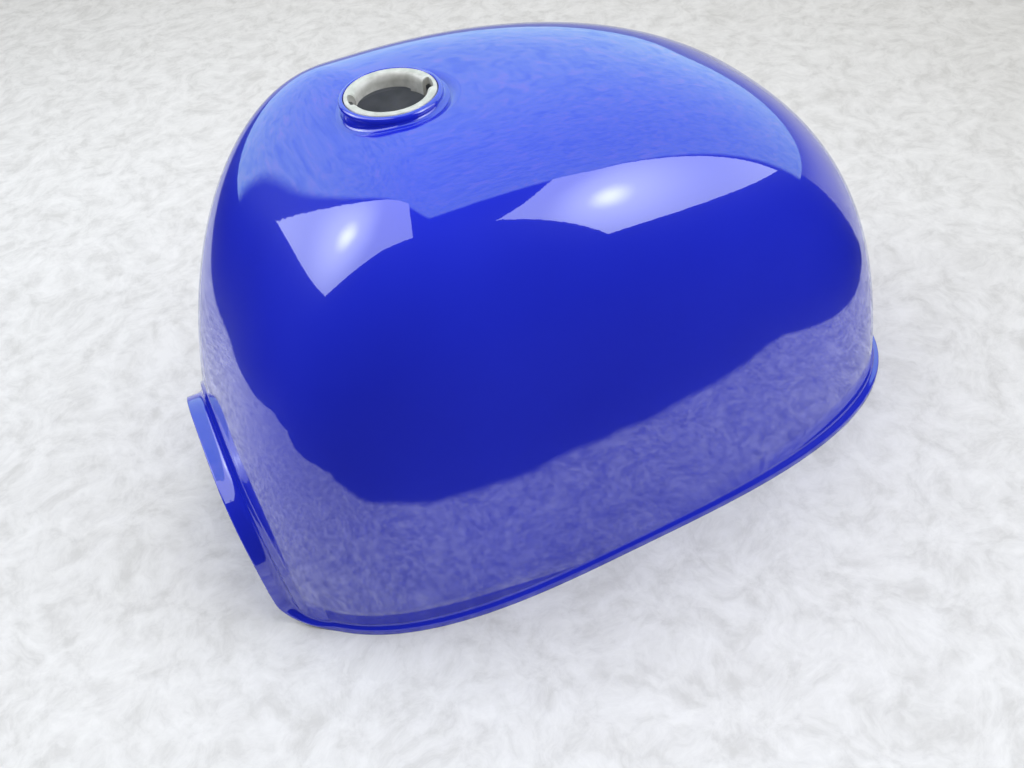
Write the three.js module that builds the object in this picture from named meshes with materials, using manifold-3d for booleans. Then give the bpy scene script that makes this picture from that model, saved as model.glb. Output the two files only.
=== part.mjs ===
// Fuel tank of a small mini-bike: one deep drawn outer shell, a bottom pan with a tunnel for the
// backbone tube, a filler neck with a bayonet insert, a tap boss and three mounting fittings.
// Millimetres. -X is the front of the tank, +X the rear, Z up, symmetric about Y = 0.
import * as THREE from 'three';
import { mergeVertices } from 'three/addons/utils/BufferGeometryUtils.js';
import Module from 'manifold-3d';

const wasm = await Module();
wasm.setup();

// ---------------------------------------------------------------- driving dimensions
const FRONT_LENGTH = 165.4; // plan centre to the front wall at the foot
const REAR_LENGTH = 202.1; // plan centre to the rear wall at the foot
const HALF_WIDTH = 104.0; // half width of the shell at the foot
const SHELL_HEIGHT = 210.8; // foot to the top of the shell
const PLAN_POWER = 3.0; // squareness of the plan at the foot
const TOP_FRONT_POWER = 3.9; // squareness of the plan at the top, front half
const TOP_REAR_POWER = 2.3; // squareness of the plan at the top, rear half
const PROFILE_FRONT = 1.66; // fullness of the side profile, front
const PROFILE_REAR = 3.08; // fullness of the side profile, rear
const PROFILE_SIDE = 3.86; // fullness of the cross-section
const LEAN_LINEAR = -26.0; // how far the upper sections stand forward
const LEAN_SQUARE = -24.4;
const SHEET = 1.2; // sheet thickness
const GAP = 0.3; // clearance at every soldered or welded seam

const ARCH_HALF_WIDTH = 59.5; // front arch, half width at the crease
const ARCH_HEIGHT = 77.5; // front arch, height at the crease
const ARCH_POWER = 3.1; // squareness of the arch
const ARCH_FOOT_RADIUS = 14.0; // rounding between the arch leg and the foot of the shell
const ARCH_LIP = 9.0; // how far the turned-out lip stands forward
const SIDE_LIP = 1.9; // how far the foot of the side wall is joggled out
const REAR_LIP = 3.7; // the same at the rear end
const LIP_HEIGHT = 7.0; // height over which the foot is joggled
const ARCH_FILLET = 5.0; // height of the fillet above the arch lip
const BLEND_LEAD = 3.0; // the lip starts to run out this far above the rounding
const BLEND_LENGTH = 28.0; // length of rim over which the lip runs out into the side flange

const TUNNEL_REAR_HEIGHT = 7.0; // tunnel roof at its rear end
const TUNNEL_REAR_HALF_WIDTH = 38.0;
const REAR_DECK = 16.1; // closed floor behind the tunnel
const TUNNEL_END = REAR_LENGTH - REAR_DECK; // rear end of the tunnel
const FLOOR_Z = 3.4; // underside of the two lobe floors above the foot
const BAND_TOP = 13.0; // top of the pan's upstand inside the shell wall
const BAND_BOTTOM = 1.0;

const NECK_X = -46.5; // filler axis
const INSERT_RADIUS = 18.6; // outside of the grey insert
const COLLAR_WALL = 1.7;
const NECK_RADIUS = INSERT_RADIUS + GAP + COLLAR_WALL; // outside of the collar wall
const NECK_RISE = 3.6; // rim of the collar above the top of the shell
const BEAD_RADIUS = 1.6; // rolled rim
const BEAD_PROUD = 0.3; // how far the rolled rim stands out from the wall
const RIM_WIDTH = 4.4; // grey rim, seen from above
const BORE_RADIUS = INSERT_RADIUS - RIM_WIDTH; // free bore of the insert
const SKIRT_LENGTH = 7.8; // bayonet skirt below the rim, at its two stops
const CAM_START = 5.4; // depth of the cam edge where a tongue comes in under it
const CAM_END = 6.2; // depth of the cam edge at the far end of the turn
const STOP_SPAN = 47.0; // the skirt is full length over this angle after each notch
const CAM_SPAN = 121.0; // turn of the cam edge, up to the next notch
const NOTCH_WIDTH = 8.2;
const NOTCH_DEPTH = 2.7; // notch, measured from the bore
const NOTCH_REACH = BORE_RADIUS + NOTCH_DEPTH;
const NOTCH_ANGLE = -9; // degrees from the lengthwise axis

const TAP_X = 62.0;
const TAP_INBOARD = 0.288056; // tap axis, from the middle of the lobe's floor towards the tunnel
const TAP_RADIUS = 9.5;
const TAP_BORE = 5.2;

const MOUNT_SETBACK = 53.4; // centre of the front mounting channels behind the front wall
const MOUNT_X = MOUNT_SETBACK - FRONT_LENGTH;
const MOUNT_LENGTH = 34.0;
const MOUNT_Z = 34.0;
const MOUNT_DEPTH = 13.0;
const MOUNT_HEIGHT = 24.0;

const BRIDGE_SETBACK = 58.0; // centre of the rear mounting bridge ahead of the tunnel's end
const BRIDGE_X = TUNNEL_END - BRIDGE_SETBACK;
const BRIDGE_WIDTH = 28.0;
const BRIDGE_HOLE = 4.3;
const NUT_RADIUS = 7.5;
const NUT_HEIGHT = 6.5;

// ---------------------------------------------------------------- small helpers
const spow = (v, p) => Math.sign(v) * Math.abs(v) ** p;
const lerp = (a, b, k) => a + (b - a) * k;
const smooth = (k) => k * k * (3 - 2 * k);
const clamp = (v, lo, hi) => Math.min(hi, Math.max(lo, v));

function bufferFrom(points, triangles) {
  const g = new THREE.BufferGeometry();
  g.setAttribute('position', new THREE.Float32BufferAttribute(points.flatMap((p) => [p.x, p.y, p.z]), 3));
  g.setIndex(triangles);
  return g;
}

function toSolid(geometry) {
  let g = geometry.clone();
  g.deleteAttribute('normal');
  g.deleteAttribute('uv');
  g = mergeVertices(g, 1e-4);
  const p = g.getAttribute('position');
  const index = g.getIndex().array;
  const keep = [];
  for (let i = 0; i < index.length; i += 3) {
    const [a, b, c] = [index[i], index[i + 1], index[i + 2]];
    if (a !== b && b !== c && c !== a) keep.push(a, b, c);
  }
  const mesh = new wasm.Mesh({
    numProp: 3,
    vertProperties: new Float32Array(p.array),
    triVerts: new Uint32Array(keep),
  });
  return new wasm.Manifold(mesh);
}

function toGeometry(solid) {
  const m = solid.getMesh();
  const g = new THREE.BufferGeometry();
  const count = m.vertProperties.length / m.numProp;
  const xyz = new Float32Array(count * 3);
  for (let i = 0; i < count; i += 1) {
    for (let k = 0; k < 3; k += 1) xyz[i * 3 + k] = m.vertProperties[i * m.numProp + k];
  }
  g.setAttribute('position', new THREE.BufferAttribute(xyz, 3));
  g.setIndex(new THREE.BufferAttribute(new Uint32Array(m.triVerts), 1));
  g.computeVertexNormals();
  return g;
}

// A trim can leave slivers outside the seam: the piece itself is the largest body.
function largest(solid) {
  return solid.decompose().sort((a, b) => b.volume() - a.volume())[0];
}

function lathe(profile, segments) {
  const closed = profile.concat([profile[0]]);
  const g = new THREE.LatheGeometry(closed.map(([r, z]) => new THREE.Vector2(r, z)), segments);
  g.rotateX(Math.PI / 2);
  return g;
}

function box(x0, x1, y0, y1, z0, z1) {
  const g = new THREE.BoxGeometry(x1 - x0, y1 - y0, z1 - z0);
  g.translate((x0 + x1) / 2, (y0 + y1) / 2, (z0 + z1) / 2);
  return g;
}

function cylinder(radius, x, y, z0, z1, segments = 40) {
  const g = new THREE.CylinderGeometry(radius, radius, z1 - z0, segments);
  g.rotateX(Math.PI / 2);
  g.translate(x, y, (z0 + z1) / 2);
  return g;
}

// Loft of closed rings with equal counts, capped at both ends.
function loft(rings) {
  const n = rings[0].length;
  const points = rings.flat();
  const triangles = [];
  for (let k = 0; k + 1 < rings.length; k += 1) {
    for (let i = 0; i < n; i += 1) {
      const a = k * n + i;
      const b = k * n + ((i + 1) % n);
      triangles.push(a, b, b + n, a, b + n, a + n);
    }
  }
  for (const [k, flip] of [[0, true], [rings.length - 1, false]]) {
    const flat = rings[k];
    const normal = ringNormal(flat);
    const [ex, ey] = planeAxes(normal);
    const contour = flat.map((p) => new THREE.Vector2(p.dot(ex), p.dot(ey)));
    for (const face of THREE.ShapeUtils.triangulateShape(contour, [])) {
      const [a, b, c] = face.map((i) => i + k * n);
      const forward = orientation(flat, face, normal);
      if (forward !== flip) triangles.push(a, b, c);
      else triangles.push(a, c, b);
    }
  }
  return bufferFrom(points, triangles);
}

function ringNormal(ring) {
  const sum = new THREE.Vector3();
  for (let i = 0; i < ring.length; i += 1) {
    sum.add(new THREE.Vector3().crossVectors(ring[i], ring[(i + 1) % ring.length]));
  }
  return sum.normalize();
}

function planeAxes(normal) {
  const seed = Math.abs(normal.z) < 0.9 ? new THREE.Vector3(0, 0, 1) : new THREE.Vector3(1, 0, 0);
  const ex = new THREE.Vector3().crossVectors(seed, normal).normalize();
  const ey = new THREE.Vector3().crossVectors(normal, ex);
  return [ex, ey];
}

function orientation(ring, face, normal) {
  const [a, b, c] = face.map((i) => ring[i]);
  const n = new THREE.Vector3().subVectors(b, a).cross(new THREE.Vector3().subVectors(c, a));
  return n.dot(normal) > 0;
}

// ---------------------------------------------------------------- the shell surface
function half(t, power) {
  return Math.max(1 - t ** power, 0) ** (1 / power);
}

function planPower(u, t) {
  const top = Math.cos(u) < 0 ? TOP_FRONT_POWER : TOP_REAR_POWER;
  return lerp(PLAN_POWER, top, t);
}

function surface(u, t) {
  const c = Math.cos(u);
  const s = Math.sin(u);
  const n = planPower(u, t);
  const reach = c < 0 ? FRONT_LENGTH * half(t, PROFILE_FRONT) : REAR_LENGTH * half(t, PROFILE_REAR);
  const lean = LEAN_LINEAR * t + LEAN_SQUARE * t * t;
  return new THREE.Vector3(
    reach * spow(c, 2 / n) + lean,
    HALF_WIDTH * half(t, PROFILE_SIDE) * spow(s, 2 / n),
    SHELL_HEIGHT * t,
  );
}

function angleAt(y, t) {
  const n = lerp(PLAN_POWER, TOP_FRONT_POWER, t);
  const r = clamp(Math.abs(y) / (HALF_WIDTH * half(t, PROFILE_SIDE)), 0, 1);
  return Math.PI - Math.sign(y) * Math.asin(r ** (n / 2));
}

function surfaceNormal(u, t) {
  const e = 1e-3;
  const du = surface(u + e, t).sub(surface(u - e, t));
  const lo = Math.max(t - e, 0);
  const dt = surface(u, t + e).sub(surface(u, lo));
  return du.cross(dt).normalize();
}

// Share of the arch lip at a distance along the rim from where it starts to run out.
function lipWeight(along) {
  return 1 - smooth(clamp(along / BLEND_LENGTH, 0, 1));
}

// Half of the rim seen from the front, from the centre of the arch to the foot of the shell.
// Each entry: y, z, direction into the opening (ny, nz), weight of the arch lip.
function archHalf(steps) {
  const list = [];
  for (let i = 0; i <= steps; i += 1) {
    const a = (i / steps) * (Math.PI / 2) * 0.985;
    const y = ARCH_HALF_WIDTH * spow(Math.sin(a), 2 / ARCH_POWER);
    const z = ARCH_HEIGHT * spow(Math.cos(a), 2 / ARCH_POWER);
    const gy = (y / ARCH_HALF_WIDTH) ** (ARCH_POWER - 1) / ARCH_HALF_WIDTH;
    const gz = (z / ARCH_HEIGHT) ** (ARCH_POWER - 1) / ARCH_HEIGHT;
    const g = Math.hypot(gy, gz);
    if (z > ARCH_FOOT_RADIUS + BLEND_LEAD) list.push({ y, z, ny: -gy / g, nz: -gz / g, weight: 1 });
  }
  const cy = ARCH_HALF_WIDTH + ARCH_FOOT_RADIUS;
  for (let i = 0; i <= 5; i += 1) {
    const a = (i / 5) * (Math.PI / 2);
    const y = cy - ARCH_FOOT_RADIUS * Math.cos(a);
    const z = ARCH_FOOT_RADIUS * (1 - Math.sin(a));
    const weight = lipWeight(BLEND_LEAD + ARCH_FOOT_RADIUS * a);
    list.push({ y, z, ny: -Math.cos(a), nz: -Math.sin(a), weight });
  }
  return list;
}

// Columns of the shell, once round the rim, starting at the centre of the arch.
function rimColumns(archSteps, sideSteps) {
  const half1 = archHalf(archSteps).map((c) => ({
    u: angleAt(c.y, c.z / SHELL_HEIGHT),
    z: c.z,
    ny: c.ny,
    nz: c.nz,
    weight: c.weight,
    startU: angleAt(c.y - c.ny * lerp(LIP_HEIGHT, ARCH_FILLET, c.weight), c.z / SHELL_HEIGHT),
    startZ: c.z - c.nz * lerp(LIP_HEIGHT, ARCH_FILLET, c.weight),
  }));
  const last = half1[half1.length - 1].u;
  const corner = surface(last, 0);
  for (let i = 1; i <= sideSteps; i += 1) {
    const u = last * (1 - i / sideSteps);
    const past = surface(u, 0).distanceTo(corner);
    const weight = lipWeight(BLEND_LEAD + ARCH_FOOT_RADIUS * (Math.PI / 2) + past);
    half1.push({ u, z: 0, ny: 0, nz: -1, weight, startU: u, startZ: LIP_HEIGHT });
  }
  const count = half1.length - 1;
  half1.forEach((c, i) => { c.topU = Math.PI * (1 - i / count); });
  const half2 = half1.slice(1, -1).reverse().map((c) => ({
    ...c, u: -c.u, startU: -c.startU, topU: -c.topU, ny: -c.ny,
  }));
  return half1.concat(half2);
}

// [out, up] of the sheet's section at the rim, as shares of the lip's reach and of its height.
const FOOT_SECTION = [[0.06, 0.72], [0.45, 0.5], [0.93, 0.34], [1, 0]];
const ARCH_SECTION = [[0.05, 0.36], [0.17, 0.12], [0.36, 0], [1, 0]];

function shellGrid(archSteps, sideSteps, levels, extend) {
  const columns = rimColumns(archSteps, sideSteps);
  const rows = [];
  for (let k = levels; k >= 0; k -= 1) {
    rows.push(columns.map((c) => {
      const low = Math.asin(clamp((c.startZ / SHELL_HEIGHT) ** 1.5, 0, 1));
      const ease = 1 - (1 - k / (levels + 1)) ** 1.25;
      const t = Math.sin(lerp(low, Math.PI / 2, ease)) ** (2 / 3);
      const u = lerp(c.startU, c.topU, smooth(k / (levels + 1)));
      return surface(u, t);
    }));
  }
  for (let r = 0; r < FOOT_SECTION.length; r += 1) {
    rows.push(columns.map((c) => {
      const crease = surface(c.u, c.z / SHELL_HEIGHT);
      const side = surfaceNormal(c.u, 0).setZ(0).normalize();
      const out = side.lerp(new THREE.Vector3(-1, 0, 0), c.weight).normalize();
      const down = new THREE.Vector3(0, c.ny, c.nz);
      const rear = smooth(clamp(crease.x / REAR_LENGTH, 0, 1));
      const reach = lerp(lerp(SIDE_LIP, REAR_LIP, rear), ARCH_LIP, c.weight);
      const isEdge = r === FOOT_SECTION.length - 1;
      const more = isEdge ? extend : 0;
      const o = lerp(FOOT_SECTION[r][0], ARCH_SECTION[r][0], c.weight) * reach + more * c.weight;
      const d = -lerp(FOOT_SECTION[r][1], ARCH_SECTION[r][1], c.weight) * LIP_HEIGHT + more * (1 - c.weight);
      return crease.addScaledVector(out, o).addScaledVector(down, d);
    }));
  }
  return rows;
}

// A closed sheet that follows the shell: outward and inward are distances from the painted face.
function shellSheet(outward, inward, extend, archSteps, sideSteps, levels) {
  const rows = shellGrid(archSteps, sideSteps, levels, extend);
  const n = rows[0].length;
  const apex = surface(0, 1);
  const points = [apex].concat(rows.flat());
  const faces = [];
  const at = (r, i) => 1 + r * n + (i % n);
  for (let i = 0; i < n; i += 1) faces.push([0, at(0, i + 1), at(0, i)]);
  for (let r = 0; r + 1 < rows.length; r += 1) {
    for (let i = 0; i < n; i += 1) {
      faces.push([at(r, i), at(r, i + 1), at(r + 1, i + 1)]);
      faces.push([at(r, i), at(r + 1, i + 1), at(r + 1, i)]);
    }
  }
  const normals = points.map(() => new THREE.Vector3());
  for (const [a, b, c] of faces) {
    const ab = new THREE.Vector3().subVectors(points[b], points[a]);
    const cross = ab.cross(new THREE.Vector3().subVectors(points[c], points[a]));
    for (const v of [a, b, c]) normals[v].add(cross);
  }
  const up = normals[0].z > 0 ? 1 : -1;
  const floorZ = Math.min(...points.map((p) => p.z));
  const outer = points.map((p, i) => p.clone().addScaledVector(normals[i].clone().normalize(), up * outward));
  const inner = points.map((p, i) => p.clone().addScaledVector(normals[i].clone().normalize(), -up * inward));
  inner.forEach((p) => p.setZ(Math.max(p.z, floorZ)));
  const total = points.length;
  const index = [];
  for (const [a, b, c] of faces) {
    if (up > 0) index.push(a, b, c, a + total, c + total, b + total);
    else index.push(a, c, b, a + total, b + total, c + total);
  }
  const edge = rows.length - 1;
  for (let i = 0; i < n; i += 1) {
    const a = at(edge, i);
    const b = at(edge, i + 1);
    if (up > 0) index.push(a, b, b + total, a, b + total, a + total);
    else index.push(a, a + total, b + total, a, b + total, b);
  }
  return toSolid(bufferFrom(outer.concat(inner), index));
}

// The space under the painted face, closed at the foot.
function shellCore(steps, levels, moveX) {
  const rings = [];
  for (let k = 0; k <= levels; k += 1) {
    const t = Math.sin((k / levels) * (Math.PI / 2) * 0.97) ** (2 / 3);
    const ring = [];
    for (let i = 0; i < steps; i += 1) ring.push(surface((i / steps) * 2 * Math.PI, t));
    rings.push(ring.map((p) => p.setX(p.x + moveX)));
  }
  rings[0].forEach((p) => p.setZ(-0.2));
  return toSolid(loft(rings));
}

// Plan outline at the foot, moved inward, as an upright block.
function planBlock(inset, z0, z1, steps) {
  const ring = [];
  for (let i = 0; i < steps; i += 1) {
    const u = (i / steps) * 2 * Math.PI;
    ring.push(surface(u, 0).addScaledVector(surfaceNormal(u, 0).setZ(0).normalize(), -inset));
  }
  const low = ring.map((p) => new THREE.Vector3(p.x, p.y, z0));
  const high = ring.map((p) => new THREE.Vector3(p.x, p.y, z1));
  return toSolid(loft([low, high]));
}

function tunnelSize(x) {
  const k = clamp((x + FRONT_LENGTH) / (TUNNEL_END + FRONT_LENGTH), 0, 1);
  return [
    lerp(ARCH_HALF_WIDTH, TUNNEL_REAR_HALF_WIDTH, k),
    lerp(ARCH_HEIGHT, TUNNEL_REAR_HEIGHT, k),
  ];
}

function tunnelBlock(inset, bottom, x0, x1) {
  const stations = [x0, -FRONT_LENGTH, -100, -30, 40, 110, x1];
  const rings = stations.map((x) => {
    const [w, h] = tunnelSize(x);
    const ring = [new THREE.Vector3(x, -(w - inset), bottom)];
    for (let i = 0; i <= 16; i += 1) {
      const a = (i / 16) * Math.PI;
      const y = -(w - inset) * spow(Math.cos(a), 2 / ARCH_POWER);
      const z = Math.max((h - inset) * spow(Math.sin(a), 2 / ARCH_POWER), bottom + 0.4);
      ring.push(new THREE.Vector3(x, y, z));
    }
    ring.push(new THREE.Vector3(x, w - inset, bottom));
    return ring.reverse();
  });
  return toSolid(loft(rings));
}

// ---------------------------------------------------------------- outer shell
const neckHole = NECK_RADIUS + GAP;
const drill = (radius, x, y, z0, z1) => toSolid(cylinder(radius, x, y, z0, z1));
const shellGapBody = shellSheet(GAP, SHEET + GAP, GAP, 9, 22, 9);
const shellBody = shellSheet(0, SHEET, 0, 9, 22, 9)
  .subtract(drill(neckHole, NECK_X, 0, SHELL_HEIGHT - 30, SHELL_HEIGHT + 30));

// ---------------------------------------------------------------- bottom pan
// Middle of the lobe's floor, between the tunnel's leg and the side wall.
function lobeMiddle(x) {
  const side = HALF_WIDTH * half(Math.abs(x) / (x < 0 ? FRONT_LENGTH : REAR_LENGTH), PLAN_POWER);
  return (tunnelSize(x)[0] + side) / 2;
}
const tapY = TAP_INBOARD - lobeMiddle(TAP_X);

// Near the floor the tunnel's front edges fall back with the lip.
function footRelief() {
  const legX = surface(angleAt(ARCH_HALF_WIDTH, 0), 0).x;
  const top = ARCH_FOOT_RADIUS + BLEND_LEAD;
  const outline = [[-ARCH_LIP * 4, -2]];
  for (let i = 0; i <= 6; i += 1) {
    outline.push([GAP - lerp(SIDE_LIP, ARCH_LIP, smooth(i / 6)), lerp(-2, top, i / 6)]);
  }
  outline.push([-ARCH_LIP * 4, top]);
  const ring = (y) => outline.map(([x, z]) => new THREE.Vector3(legX + x, y, z));
  return toSolid(loft([ring(ARCH_HALF_WIDTH), ring(-ARCH_HALF_WIDTH)]));
}

const wallInset = SHEET + GAP;
const band = planBlock(wallInset, BAND_BOTTOM, BAND_TOP, 72)
  .subtract(planBlock(wallInset + SHEET, BAND_BOTTOM - 1, BAND_TOP + 1, 72));
const floorPlate = planBlock(wallInset + SHEET / 2, FLOOR_Z, FLOOR_Z + SHEET, 72);
const tunnelOuter = tunnelBlock(wallInset, BAND_BOTTOM, -FRONT_LENGTH - 30, TUNNEL_END)
  .intersect(shellCore(72, 10, GAP - ARCH_LIP).add(planBlock(wallInset, 0, BAND_TOP, 72)))
  .subtract(footRelief());
const tunnelInner = tunnelBlock(wallInset + SHEET, BAND_BOTTOM - 4, -FRONT_LENGTH - 40, TUNNEL_END - SHEET);
const panBody = band.add(floorPlate).add(tunnelOuter)
  .subtract(tunnelInner)
  .subtract(shellGapBody)
  .subtract(drill(TAP_RADIUS + GAP, TAP_X, tapY, -10, 20));

// ---------------------------------------------------------------- filler collar and insert
const neckTop = SHELL_HEIGHT + NECK_RISE;
const collarInner = INSERT_RADIUS + GAP;
const beadMid = neckTop - BEAD_RADIUS;
const beadX = NECK_RADIUS + BEAD_PROUD - BEAD_RADIUS;
const beadArc = [];
for (let i = 0; i <= 6; i += 1) {
  const a = Math.PI / 2 - (i / 6) * Math.PI * 0.68;
  beadArc.push([beadX + BEAD_RADIUS * Math.cos(a), beadMid + BEAD_RADIUS * Math.sin(a)]);
}
const collarProfile = [[collarInner, neckTop]].concat(beadArc, [
  [NECK_RADIUS, SHELL_HEIGHT + 0.6],
  [NECK_RADIUS + 0.6, SHELL_HEIGHT],
  [NECK_RADIUS + 3.0, SHELL_HEIGHT - 0.6],
  [NECK_RADIUS + 3.0, SHELL_HEIGHT - 3.0],
  [NECK_RADIUS, SHELL_HEIGHT - 6.0],
  [collarInner, SHELL_HEIGHT - 6.0],
]);
const collarBody = toSolid(lathe(collarProfile.reverse(), 56))
  .translate([NECK_X, 0, 0])
  .subtract(shellGapBody.subtract(drill(NECK_RADIUS, NECK_X, 0, SHELL_HEIGHT - 40, SHELL_HEIGHT + 40)));

const insertTop = neckTop + 0.2;
const insertProfile = [
  [BORE_RADIUS, insertTop - 2.8],
  [BORE_RADIUS + 0.4, insertTop - 1.4],
  [BORE_RADIUS + 1.0, insertTop - 0.6],
  [BORE_RADIUS + 1.9, insertTop],
  [INSERT_RADIUS - 0.7, insertTop],
  [INSERT_RADIUS, insertTop - 0.5],
  [INSERT_RADIUS, insertTop - 4.0],
  [INSERT_RADIUS - 1.0, insertTop - 4.0],
  [INSERT_RADIUS - 1.0, insertTop - 2.2],
  [BORE_RADIUS + 1.3, insertTop - 3.2],
  [BORE_RADIUS + 1.3, insertTop - SKIRT_LENGTH],
  [BORE_RADIUS, insertTop - SKIRT_LENGTH],
];
const notch = toSolid(box(0, NOTCH_REACH, -NOTCH_WIDTH / 2, NOTCH_WIDTH / 2, -20, 10));
const notchPair = notch.add(notch.rotate([0, 0, 180])).rotate([0, 0, NOTCH_ANGLE]).translate([0, 0, insertTop]);
// Cam: the skirt is cut back in two helical ramps, so that a cap's tongues draw it down.
function camCut(start) {
  const rings = [];
  for (let i = 0; i <= 12; i += 1) {
    const k = i / 12;
    const a = ((start + STOP_SPAN + CAM_SPAN * k) * Math.PI) / 180;
    const z = insertTop - lerp(CAM_END, CAM_START, k);
    rings.push([[BORE_RADIUS - 3, z], [BORE_RADIUS + 3, z], [BORE_RADIUS + 3, insertTop - 16],
      [BORE_RADIUS - 3, insertTop - 16]].map(([r, h]) => new THREE.Vector3(r * Math.cos(a), r * Math.sin(a), h)));
  }
  return toSolid(loft(rings));
}
const insertBody = toSolid(lathe(insertProfile.slice().reverse(), 56))
  .subtract(notchPair)
  .subtract(camCut(NOTCH_ANGLE))
  .subtract(camCut(NOTCH_ANGLE + 180))
  .translate([NECK_X, 0, 0]);

// ---------------------------------------------------------------- tap boss
const tapProfile = [
  [TAP_BORE, 0.8],
  [TAP_RADIUS, 0.8],
  [TAP_RADIUS, FLOOR_Z + SHEET + GAP],
  [TAP_RADIUS + 3.5, FLOOR_Z + SHEET + GAP],
  [TAP_RADIUS + 3.5, FLOOR_Z + SHEET + GAP + 1.6],
  [TAP_RADIUS, FLOOR_Z + SHEET + GAP + 2.4],
  [TAP_RADIUS - 1, FLOOR_Z + 9.0],
  [TAP_BORE, FLOOR_Z + 9.0],
];
const tapBody = toSolid(lathe(tapProfile, 40)).translate([TAP_X, tapY, 0]);

// ---------------------------------------------------------------- front mounting channels
function mountChannel(side) {
  const [w] = tunnelSize(MOUNT_X);
  const wall = w - wallInset - SHEET - GAP;
  const x0 = MOUNT_X - MOUNT_LENGTH / 2;
  const x1 = MOUNT_X + MOUNT_LENGTH / 2;
  const z0 = MOUNT_Z - MOUNT_HEIGHT / 2;
  const z1 = MOUNT_Z + MOUNT_HEIGHT / 2;
  const block = toSolid(box(x0, x1, wall - MOUNT_DEPTH, wall + 6, z0, z1));
  const hollow = toSolid(box(x0 - 1, x1 - 2, wall - MOUNT_DEPTH + 2, wall + 8, z0 + 2, z1 - 2));
  const slot = toSolid(box(x0 - 1, x1 - 10, wall - MOUNT_DEPTH - 1, wall - MOUNT_DEPTH + 3, z0 + 7, z1 - 7));
  const feet = toSolid(box(x0, x1, wall - 1.6, wall + 6, z0 - 6, z0 + 2))
    .add(toSolid(box(x0, x1, wall - 1.6, wall + 6, z1 - 2, z1 + 6)));
  const limit = tunnelBlock(wallInset + SHEET + GAP, BAND_BOTTOM, -FRONT_LENGTH - 20, TUNNEL_END - 4);
  const piece = block.subtract(hollow).subtract(slot).add(feet).intersect(limit);
  return side > 0 ? piece : piece.mirror([0, 1, 0]);
}

// ---------------------------------------------------------------- rear bridge and captive nut
const [bridgeHalf] = tunnelSize(BRIDGE_X);
const bridgeZ = 1.0;
const bridgeReach = bridgeHalf - wallInset - SHEET - GAP;
const bridgeBody = toSolid(box(BRIDGE_X - BRIDGE_WIDTH / 2, BRIDGE_X + BRIDGE_WIDTH / 2,
  -bridgeReach, bridgeReach, bridgeZ, bridgeZ + 2.5))
  .intersect(tunnelBlock(wallInset + SHEET + GAP, BAND_BOTTOM - 3, -FRONT_LENGTH - 20, TUNNEL_END - 4))
  .subtract(drill(BRIDGE_HOLE, BRIDGE_X, 0, -5, 10));
const hex = toSolid(cylinder(NUT_RADIUS, BRIDGE_X, 0, bridgeZ + 2.5 + GAP, bridgeZ + 2.5 + GAP + NUT_HEIGHT, 6));
const nutBody = hex.subtract(drill(BRIDGE_HOLE - 0.5, BRIDGE_X, 0, -5, 30));

// ---------------------------------------------------------------- scene
const group = new THREE.Group();
group.name = 'fuel_tank';

const paint = { color: 0x1c26c8, roughness: 0.12, metalness: 0.0 };
const zinc = { color: 0xc9c9bf, roughness: 0.45, metalness: 0.2 };
const steel = { color: 0x8d9196, roughness: 0.4, metalness: 0.8 };

function place(name, solid, look) {
  const mesh = new THREE.Mesh(toGeometry(solid), new THREE.MeshStandardMaterial(look));
  mesh.name = name;
  group.add(mesh);
  return mesh;
}

const shellMesh = place('outer_shell', shellBody, paint);
place('bottom_pan', largest(panBody), paint);
place('filler_collar', largest(collarBody), paint);
place('filler_insert', insertBody, zinc);
place('tap_boss', tapBody, steel);
place('front_mount_left', mountChannel(-1), paint);
place('front_mount_right', mountChannel(1), paint);
place('rear_bridge', bridgeBody, paint);
place('rear_nut', nutBody, steel);

shellMesh.geometry.computeBoundingBox();
const reach = shellMesh.geometry.boundingBox;
const shift = -(reach.min.x + reach.max.x) / 2;
for (const mesh of group.children) mesh.geometry.translate(shift, 0, 0);

export default group;
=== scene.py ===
"""Fuel tank of a small mini-bike, blue gloss paint, on a pale floor."""

import math

import bpy
import bmesh
from mathutils import Matrix, Vector


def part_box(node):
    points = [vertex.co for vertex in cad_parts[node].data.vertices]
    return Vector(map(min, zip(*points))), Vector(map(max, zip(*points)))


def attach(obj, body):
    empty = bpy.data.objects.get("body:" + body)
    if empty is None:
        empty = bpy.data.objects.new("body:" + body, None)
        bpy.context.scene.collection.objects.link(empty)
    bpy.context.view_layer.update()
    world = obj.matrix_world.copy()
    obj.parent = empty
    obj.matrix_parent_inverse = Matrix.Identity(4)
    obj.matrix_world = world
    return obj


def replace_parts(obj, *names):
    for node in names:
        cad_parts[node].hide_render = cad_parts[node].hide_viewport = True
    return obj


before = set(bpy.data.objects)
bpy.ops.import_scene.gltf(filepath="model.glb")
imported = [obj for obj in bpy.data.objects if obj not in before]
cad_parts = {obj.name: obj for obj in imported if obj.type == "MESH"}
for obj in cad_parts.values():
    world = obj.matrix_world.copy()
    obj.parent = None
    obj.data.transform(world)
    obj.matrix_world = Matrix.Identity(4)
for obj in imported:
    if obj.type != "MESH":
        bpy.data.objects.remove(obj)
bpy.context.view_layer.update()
MM = 0.001

# ---------------------------------------------------------------- sizes, from the frame, in mm
shell_lo, shell_hi = [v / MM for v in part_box("outer_shell")]
collar_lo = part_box("filler_collar")[0] / MM
insert_lo, insert_hi = [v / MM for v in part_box("filler_insert")]
pan_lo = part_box("bottom_pan")[0] / MM
tap_lo, tap_hi = [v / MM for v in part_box("tap_boss")]
nut_lo, nut_hi = [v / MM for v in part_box("rear_nut")]

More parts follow.
